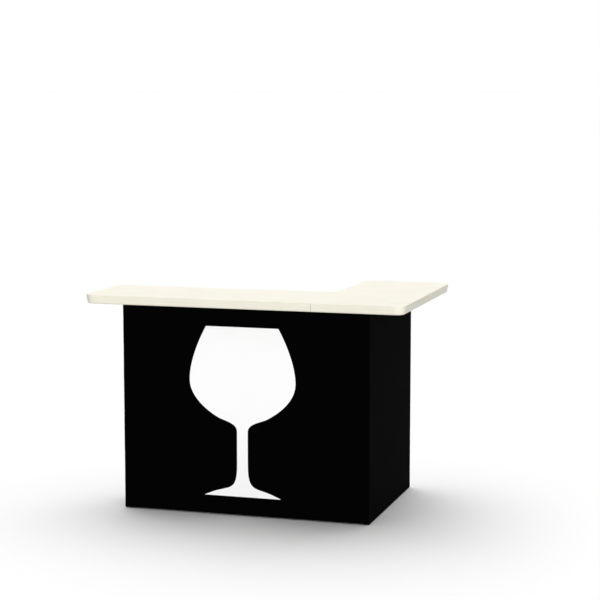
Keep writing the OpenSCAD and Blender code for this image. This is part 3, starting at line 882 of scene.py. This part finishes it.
def screw_place(points):
    """Top of a CAD screw's head, the way out of it, and the sizes that screw_shape takes."""
    low, high = box_of(points)
    size, middle = high - low, (low + high) / 2
    axis = min(range(3), key=lambda i: abs(size[i - 1] - size[i - 2]))
    out = along_axis(axis)
    spread = [((p - middle) - out * (p - middle).dot(out)).length for p in points]
    head = max(spread)
    heights = [(p - middle).dot(out) for p, r in zip(points, spread) if r > HEAD_RIM * head]
    if sum(heights) < 0:
        out, heights = -out, [-h for h in heights]
    half = size[axis] / 2
    tip = [r for p, r in zip(points, spread) if (p - middle).dot(out) < TIP_REACH - half]
    return middle + out * half, out, (head, max(tip), half - min(heights), size[axis])


def recessed_screws():
    """Screws of the hinges and the bottle rails, with a cross recess in each head."""
    for node in ("bottle_rail_screws", "frame_leaf_screws",
                 "right_wing_screws", "left_wing_screws"):
        screws = bmesh.new()
        for points in solids_of(node):
            top, out, sizes = screw_place(points)
            turn = along_axis(2).rotation_difference(out)
            for face in screw_shape(*sizes):
                screws.faces.new([screws.verts.new(top + turn @ corner) for corner in face])
        finish_mesh(screws, node + "_recessed", "steel", body_of(node), node)


# Weld beads


def face_corners(first, second, i):
    """Inner corners where the first tube's high end on axis i lies against the second tube."""
    low = [max(pair) for pair in zip(first[0], second[0])]
    high = [min(pair) for pair in zip(first[1], second[1])]
    others = [k for k in range(3) if k != i]
    if min(high[k] - low[k] for k in others) < 2 * BEAD_LEG:
        return
    for j, k in (others, others[::-1]):
        for end, way in ((0, -1), (1, 1)):
            edge = (low, high)[end][j]
            past = [(tube[end][j] - edge) * way > BEAD_LEG for tube in (first, second)]
            if past[0] == past[1]:
                continue
            start = Vector((0, 0, 0))
            start[i], start[j], start[k] = first[1][i], edge, low[k] + BEAD_ENDS
            stop = start.copy()
            stop[k] = high[k] - BEAD_ENDS
            yield start, stop, (along_axis(i, 1 if past[0] else -1), along_axis(j, way))


def tube_corners(tubes):
    """Inner corners where tubes meet: start, end, and the two ways out of the corner."""
    for first, second in permutations(tubes, 2):
        for i in range(3):
            if abs(first[1][i] - second[0][i]) <= WELD_GAP:
                yield from face_corners(first, second, i)


def weld_bead(beads, start, stop, ways):
    """Adds one rippled bead along a corner."""
    count = 2 * max(2, round((stop - start).length / BEAD_RIPPLE))
    rings = []
    for step in range(count + 1):
        leg = BEAD_LEG * (BEAD_FALL if step % 2 else 1.0)
        leg *= BEAD_START if step in (0, count) else 1.0
        face = [(leg * a, leg * b) for a, b in BEAD_FACE]
        section = [(-BEAD_SINK, -BEAD_SINK), (leg, -BEAD_SINK), *face, (-BEAD_SINK, leg)]
        place = start.lerp(stop, step / count)
        rings.append([beads.verts.new(place + ways[0] * a + ways[1] * b) for a, b in section])
    join_loops(beads, rings)


def frame_welds():
    """Weld beads of the front section and of the two side frames, under the powder coat."""
    frames = {
        "front_section": ["front_left_post", "front_right_post", "left_return_post",
                          "right_return_post", "front_top_rail", "front_bottom_rail",
                          "rear_top_rail", "rear_bottom_rail", "front_uprights",
                          "left_return_rails", "right_return_rails"],
    }
    wing_tubes = ("front_post", "rear_post", "top_rail", "middle_rail", "bottom_rail")
    for wing in ("right_wing", "left_wing"):
        frames[wing] = [wing + "_" + tube for tube in wing_tubes]
    for rides_on, nodes in frames.items():
        tubes = [box_of(points) for node in nodes for points in solids_of(node)]
        beads = bmesh.new()
        for corner in tube_corners(tubes):
            weld_bead(beads, *corner)
        finish_mesh(beads, rides_on + "_welds", "frame", rides_on)


# Stage


def direction_to(azimuth, elevation):
    """Direction from the bar: azimuth 0 is straight in front of it, 90 to its right."""
    turn, rise = math.radians(azimuth), math.radians(elevation)
    ahead = math.cos(rise)
    return Vector((math.sin(turn) * ahead, -math.cos(turn) * ahead, math.sin(rise)))


def photo_camera():
    """Camera at the photograph's place and angle."""
    back = direction_to(CAMERA_AZIMUTH, CAMERA_ELEVATION)
    lens = bpy.data.cameras.new("photo_camera")
    lens.lens = CAMERA_LENS
    lens.sensor_width = SENSOR_WIDTH
    lens.clip_end = 4 * FLOOR_RADIUS
    camera = bpy.data.objects.new("photo_camera", lens)
    camera.location = CAMERA_TARGET + back * CAMERA_DISTANCE
    camera.rotation_euler = back.to_track_quat("Z", "Y").to_euler()
    bpy.context.scene.collection.objects.link(camera)
    bpy.context.scene.camera = camera


def white_floor():
    """Floor that reaches past everything the camera sees."""
    plane = bmesh.new()
    bmesh.ops.create_circle(plane, cap_ends=True, segments=FLOOR_SIDES, radius=FLOOR_RADIUS)
    mesh = bpy.data.meshes.new("floor")
    plane.to_mesh(mesh)
    plane.free()
    mesh.materials.append(floor_white())
    floor = bpy.data.objects.new("floor", mesh)
    bpy.context.scene.collection.objects.link(floor)
    return floor


def studio_dome():
    """Soft light from overhead; white to the eye all round."""
    world = bpy.data.worlds.new("studio_dome")
    world.use_nodes = True
    tree = world.node_tree
    tree.nodes.clear()
    sky = add_node(tree, "TexCoord").outputs["Generated"]
    height = add_node(tree, "SeparateXYZ", {0: sky}).outputs["Z"]
    level = remap(tree, height, *DOME_RISE, DOME_HORIZON, DOME_ZENITH, smooth=True)
    dome = add_node(tree, "Background", {"Color": WHITE, "Strength": level}).outputs[0]
    white = add_node(tree, "Background", {"Color": WHITE, "Strength": 1.0}).outputs[0]
    mixed = add_node(tree, "MixShader", {0: seen_share(tree), 1: dome, 2: white})
    add_node(tree, "OutputWorld", {"Surface": mixed.outputs[0]})
    bpy.context.scene.world = world


def soft_lamp(name, azimuth, elevation, spread, level):
    """A broad lamp far away."""
    light = bpy.data.lights.new(name, "SUN")
    light.energy = level * math.pi
    light.angle = math.radians(spread)
    lamp = bpy.data.objects.new(name, light)
    lamp.rotation_euler = direction_to(azimuth, elevation).to_track_quat("Z", "Y").to_euler()
    bpy.context.scene.collection.objects.link(lamp)
    return lamp


def light_only(name, floor, link_state, lamps):
    """Lamps that light the floor alone, or all but the floor."""
    lit = bpy.data.collections.new(name)
    lit.objects.link(floor)
    lit.collection_objects[0].light_linking.link_state = link_state
    for lamp, setting in lamps.items():
        soft_lamp(lamp, *setting).light_linking.receiver_collection = lit


def studio_lamps(floor):
    """Lamps in front of and behind the bar, and one overhead that throws its shadow."""
    light_only("all_but_floor", floor, "EXCLUDE", BAR_LAMPS)
    light_only("floor_alone", floor, "INCLUDE", FLOOR_LAMPS)
    # The low front lamp would leave a glare on the counter.
    bpy.data.objects["front_lamp"].visible_glossy = False


photo_camera()
dress_cad_nodes()
recessed_screws()
frame_welds()
tape_strips()
front_cloth()
wing_cloths()
studio_lamps(white_floor())
studio_dome()
bpy.context.scene.view_settings.view_transform = "Standard"
